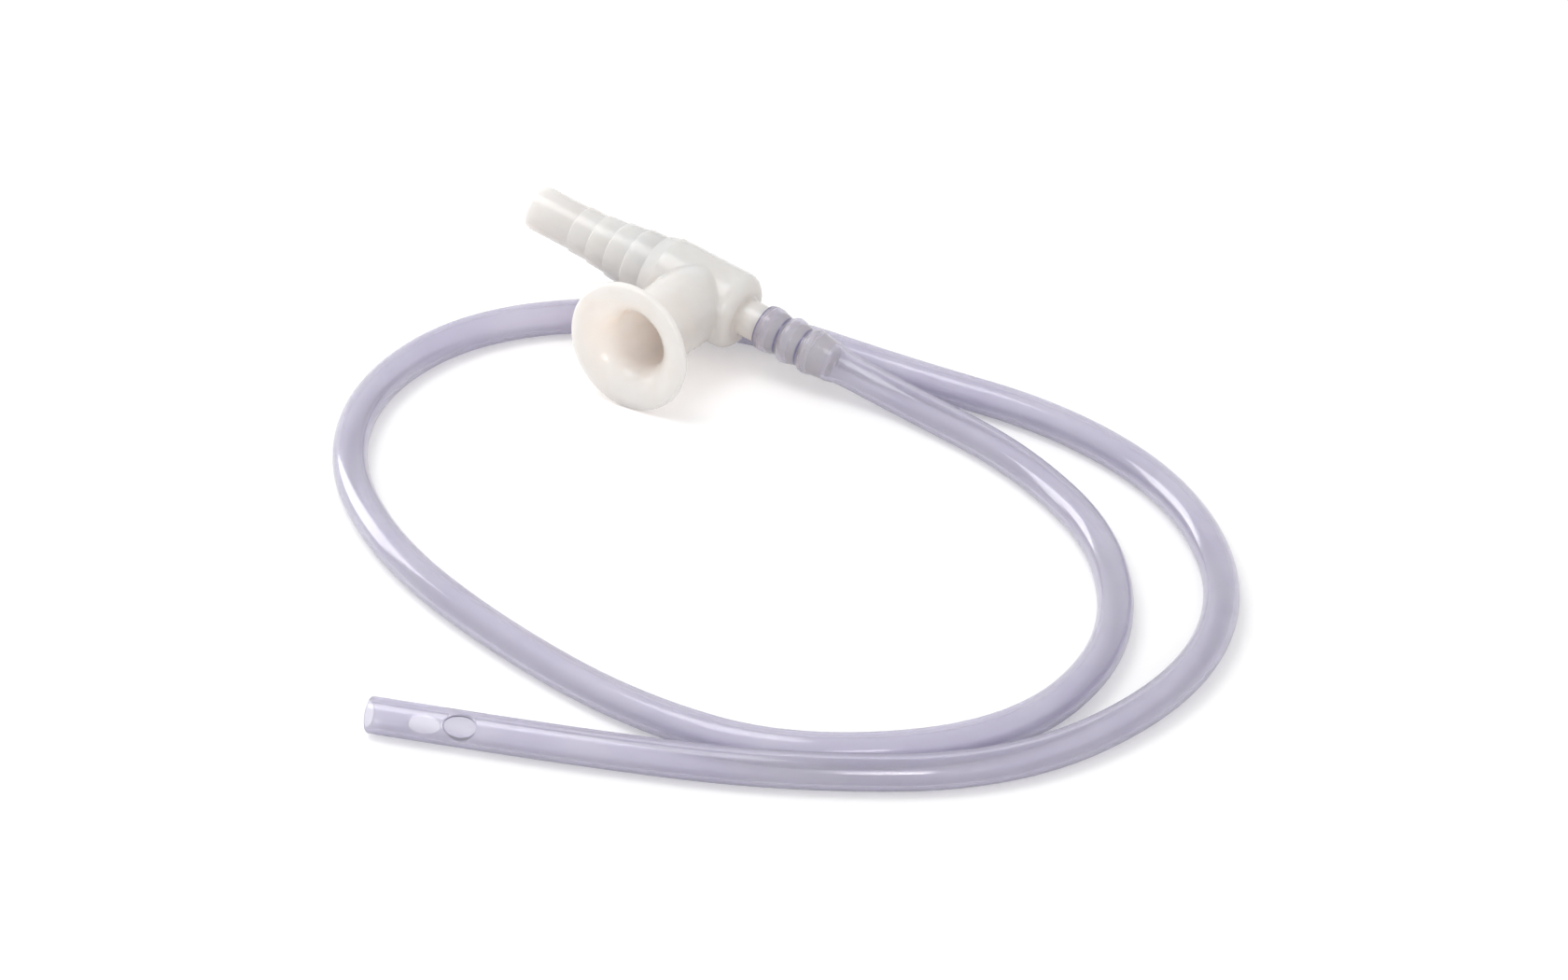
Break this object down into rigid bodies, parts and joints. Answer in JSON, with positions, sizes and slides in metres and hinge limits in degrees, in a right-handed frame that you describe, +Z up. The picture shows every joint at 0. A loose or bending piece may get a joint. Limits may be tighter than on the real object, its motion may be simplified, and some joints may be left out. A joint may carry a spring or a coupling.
{
  "type": "suction catheter",
  "caption": "Coiled clear suction catheter, an open-tipped tube with side eyes pushed over the barbs of a white thumb control connector with a flared cup and a stepped suction end",
  "frame": {"origin": "on the table, under the middle of the connector's footprint", "axes": "+X along the connector from its suction end towards the tube, the thumb cup towards -Y, +Z up from the table"},
  "size_m": [0.1335, 0.1147, 0.0183],
  "materials": {
    "connector_plastic": "moulded warm white polyethylene, satin",
    "clear_tube": "clear soft vinyl with a faint lavender tint, glossy"
  },
  "bodies": {
    "root": {"thumb_control_connector": "connector_plastic", "catheter_tube": "clear_tube"}
  },
  "joints": []
}
